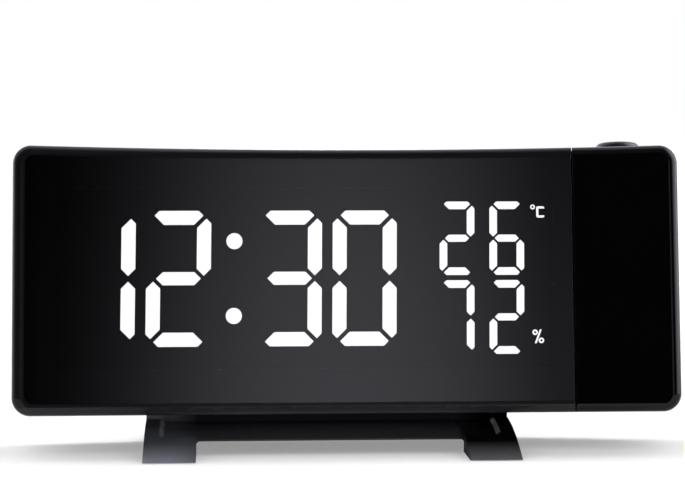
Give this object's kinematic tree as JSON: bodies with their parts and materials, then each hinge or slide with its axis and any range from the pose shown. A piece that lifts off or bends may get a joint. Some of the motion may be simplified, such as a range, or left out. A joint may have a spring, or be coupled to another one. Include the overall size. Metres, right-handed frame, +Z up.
{
  "type": "projection alarm clock",
  "caption": "Wide digital alarm clock with a gently hollow front, a turning projector head at one end, a snooze bar, rear buttons and a low stand with splayed toes.",
  "frame": {"origin": "on the table under the middle of the clock's overall box", "axes": "+Z up, the display faces -Y, the projector head is at +X"},
  "size_m": [0.2, 0.0628, 0.093],
  "materials": {
    "front_plastic": "satin black moulded plastic",
    "window_acrylic": "smoked acrylic, polished",
    "rear_plastic": "fine spark-eroded grain",
    "stand_plastic": "satin",
    "foot_rubber": "matte",
    "screw_steel": "zinc plated",
    "reflector_plastic": "matte black mask",
    "lit_segment": "lit diffuser",
    "led_resin": "clear phosphor resin",
    "circuit_board": "solder mask over glass fibre",
    "black_nylon": "moulded nylon",
    "socket_steel": "nickel plated",
    "white_nylon": "moulded nylon",
    "button_plastic": "satin",
    "lead_insulation": "flexible insulation",
    "head_plastic": "piano black, polished",
    "ring_plastic": "satin black",
    "lens_glass": "polished",
    "mask_glass": "liquid crystal cell",
    "lamp_resin": "red resin"
  },
  "bodies": {
    "clock_body": {"front_frame": "front_plastic", "display_window": "window_acrylic", "rear_cover": "rear_plastic", "case_screws": "screw_steel", "stand": "stand_plastic", "foot_pads": "foot_rubber", "stand_screws": "screw_steel", "segment_reflector": "reflector_plastic", "time_segments": "lit_segment", "colon_dots": "lit_segment", "temperature_segments": "lit_segment", "humidity_segments": "lit_segment", "unit_symbols": "lit_segment", "dark_segments": "reflector_plastic", "led_chips": "led_resin", "display_board": "circuit_board", "display_board_screws": "screw_steel", "board_connector": "black_nylon", "main_board": "circuit_board", "main_board_screws": "screw_steel", "control_chips": "black_nylon", "tact_switches": "black_nylon", "power_inlet": "black_nylon", "usb_socket": "socket_steel", "usb_tongue": "white_nylon", "cell_holder": "black_nylon", "backup_cell": "socket_steel", "alarm_speaker": "black_nylon", "climate_sensor": "circuit_board", "body_lead": "lead_insulation", "lead_connector": "white_nylon", "friction_washer": "white_nylon"},
    "projector_head": {"projector_front_shell": "head_plastic", "projector_rear_shell": "head_plastic", "projector_screws": "screw_steel", "pivot_hub": "black_nylon", "hub_clip": "screw_steel", "projector_barrel": "black_nylon", "lcd_mask": "mask_glass", "lamp_housing": "white_nylon", "condenser_lens": "lens_glass", "projector_lamp": "lamp_resin", "lamp_board": "circuit_board", "projector_board": "circuit_board", "head_lead": "lead_insulation"},
    "focus_ring": {"focus_ring": "ring_plastic", "focus_ring_clip": "screw_steel"},
    "lens_cell": {"lens_cell": "black_nylon", "objective_lens": "lens_glass", "field_lens": "lens_glass"},
    "flip_button": {"flip_button": "button_plastic"},
    "snooze_bar": {"snooze_bar": "button_plastic"},
    "battery_cap": {"battery_cap": "rear_plastic"},
    "mode_button": {"mode_button": "button_plastic"},
    "alarm_button": {"alarm_button": "button_plastic"},
    "down_button": {"down_button": "button_plastic"},
    "up_button": {"up_button": "button_plastic"},
    "set_button": {"set_button": "button_plastic"}
  },
  "joints": [
    {"name": "head_turn", "type": "hinge", "parent": "clock_body", "child": "projector_head", "pos_m": [0.07076, 0.00684, 0.04968], "axis": [0.989, -0.1465, 0.0193], "range_deg": [-90, 90]},
    {"name": "focus_turn", "type": "hinge", "parent": "projector_head", "child": "focus_ring", "pos_m": [0.0848, 0.00476, 0.04995], "axis": [0, 0.1305, 0.9914], "range_deg": [-62, 62]},
    {"name": "lens_slide", "type": "slide", "parent": "projector_head", "child": "lens_cell", "axis": [0, 0.1305, 0.9914], "range_m": [-0.00075, 0.00075]},
    {"name": "flip_press", "type": "slide", "parent": "projector_head", "child": "flip_button", "axis": [-0.2051, -0.9704, 0.1278], "range_m": [0, 0.0008], "stiffness_N_per_m": 1000, "springref_m": -0.0004},
    {"name": "snooze_press", "type": "slide", "parent": "clock_body", "child": "snooze_bar", "axis": [0, -0.1305, -0.9914], "range_m": [0, 0.0008], "stiffness_N_per_m": 1200, "springref_m": -0.0005},
    {"name": "cap_turn", "type": "hinge", "parent": "clock_body", "child": "battery_cap", "pos_m": [-0.01, 0.02509, 0.03588], "axis": [-0.023, 0.9912, -0.1305], "range_deg": [0, 90]},
    {"name": "mode_press", "type": "slide", "parent": "clock_body", "child": "mode_button", "axis": [0.1014, -0.9863, 0.1299], "range_m": [0, 0.0008], "stiffness_N_per_m": 1000, "springref_m": -0.0004},
    {"name": "alarm_press", "type": "slide", "parent": "clock_body", "child": "alarm_button", "axis": [0.0691, -0.9891, 0.1302], "range_m": [0, 0.0008], "stiffness_N_per_m": 1000, "springref_m": -0.0004},
    {"name": "down_press", "type": "slide", "parent": "clock_body", "child": "down_button", "axis": [0.0369, -0.9908, 0.1304], "range_m": [0, 0.0008], "stiffness_N_per_m": 1000, "springref_m": -0.0004},
    {"name": "up_press", "type": "slide", "parent": "clock_body", "child": "up_button", "axis": [0.0046, -0.9914, 0.1305], "range_m": [0, 0.0008], "stiffness_N_per_m": 1000, "springref_m": -0.0004},
    {"name": "set_press", "type": "slide", "parent": "clock_body", "child": "set_button", "axis": [-0.0276, -0.9911, 0.1305], "range_m": [0, 0.0008], "stiffness_N_per_m": 1000, "springref_m": -0.0004}
  ],
  "couplings": [
    {"joint": "focus_turn", "follows": "lens_slide", "rad_per_m": 1396.3}
  ]
}
